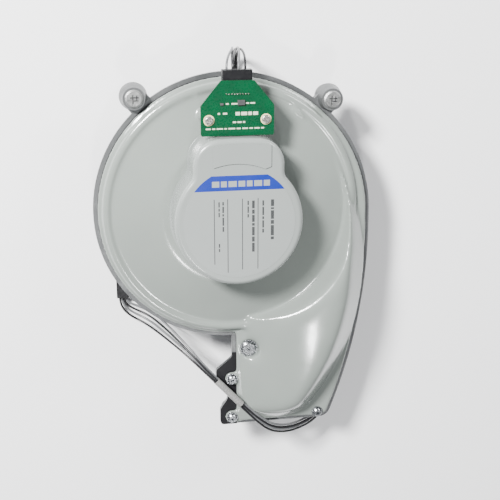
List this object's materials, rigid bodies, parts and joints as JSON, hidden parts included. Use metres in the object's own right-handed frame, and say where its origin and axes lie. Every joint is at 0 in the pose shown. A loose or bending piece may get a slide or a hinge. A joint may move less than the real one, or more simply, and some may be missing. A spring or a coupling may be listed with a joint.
{
  "type": "combustion fan",
  "caption": "Radial premix fan for a gas boiler: scroll housing with side outlet, capped motor, connector board and wiring loom.",
  "frame": {"origin": "motor axis at the plane of the inlet collar and outlet gasket", "axes": "+Z along the motor axis, out of the motor end; outlet towards -Y"},
  "size_m": [0.2197, 0.3251, 0.0888],
  "materials": {
    "cast_aluminium": "raw casting, satin",
    "black_gasket": "matt",
    "painted_casting": "gloss",
    "painted_cap": "satin",
    "zinc_screws": "zinc plated",
    "pin_metal": "bright",
    "nozzle_plastic": "moulded",
    "seal_rubber": "matt",
    "impeller_metal": "satin",
    "bright_steel": "ground",
    "spring_steel": "blued",
    "zinc_plate": "zinc plated",
    "magnet_ferrite": "sintered",
    "brass_tube": "turned brass",
    "core_steel": "laminated",
    "insulator_plastic": "moulded",
    "copper_winding": "enamelled copper",
    "green_board": "solder mask",
    "black_parts": "moulded",
    "label_film": "printed film",
    "post_plastic": "moulded",
    "tin_screws": "nickel plated",
    "black_plastic": "moulded",
    "ribbon_film": "film",
    "black_sleeve": "PVC",
    "pale_sleeve": "clear PVC",
    "wire_grey": "PVC",
    "wire_black": "PVC"
  },
  "bodies": {
    "housing": {"lower_housing": "cast_aluminium", "housing_gasket": "black_gasket", "upper_housing": "painted_casting", "outlet_screws": "zinc_screws", "earth_screw": "zinc_screws", "lug_pins": "pin_metal", "inlet_nozzle": "nozzle_plastic", "inlet_seal": "seal_rubber", "outlet_gasket": "black_gasket", "bearing_outer_races": "bright_steel", "bearing_balls": "bright_steel", "bearing_tube": "brass_tube", "bearing_tube_screws": "zinc_screws", "preload_spring": "spring_steel", "stator_core": "core_steel", "stator_insulators": "insulator_plastic", "stator_windings": "copper_winding", "motor_board": "green_board", "motor_board_parts": "black_parts", "motor_board_spacers": "nozzle_plastic", "motor_cap": "painted_cap", "rating_label": "label_film", "connector_board": "green_board", "board_posts": "post_plastic", "board_screws": "tin_screws", "board_header": "black_plastic", "cable_plug": "black_plastic", "ribbon_link": "ribbon_film", "loom_sleeve": "black_sleeve", "pale_sleeve": "pale_sleeve", "end_plug": "black_plastic", "top_wire_1": "wire_grey", "low_wire_1": "wire_grey", "top_wire_2": "wire_black", "low_wire_2": "wire_black", "top_wire_3": "wire_grey", "low_wire_3": "wire_grey", "top_wire_4": "wire_black", "low_wire_4": "wire_black"},
    "rotor": {"impeller_wheel": "impeller_metal", "impeller_shroud": "impeller_metal", "shaft_nut": "zinc_screws", "shaft_slinger": "seal_rubber", "motor_shaft": "bright_steel", "bearing_inner_races": "bright_steel", "shaft_circlip": "spring_steel", "rotor_cup": "zinc_plate", "rotor_magnets": "magnet_ferrite"}
  },
  "joints": [
    {"name": "rotor_spin", "type": "hinge", "parent": "housing", "child": "rotor", "pos_m": [0, 0, 0.05], "axis": [0, 0, 1], "continuous": true}
  ]
}
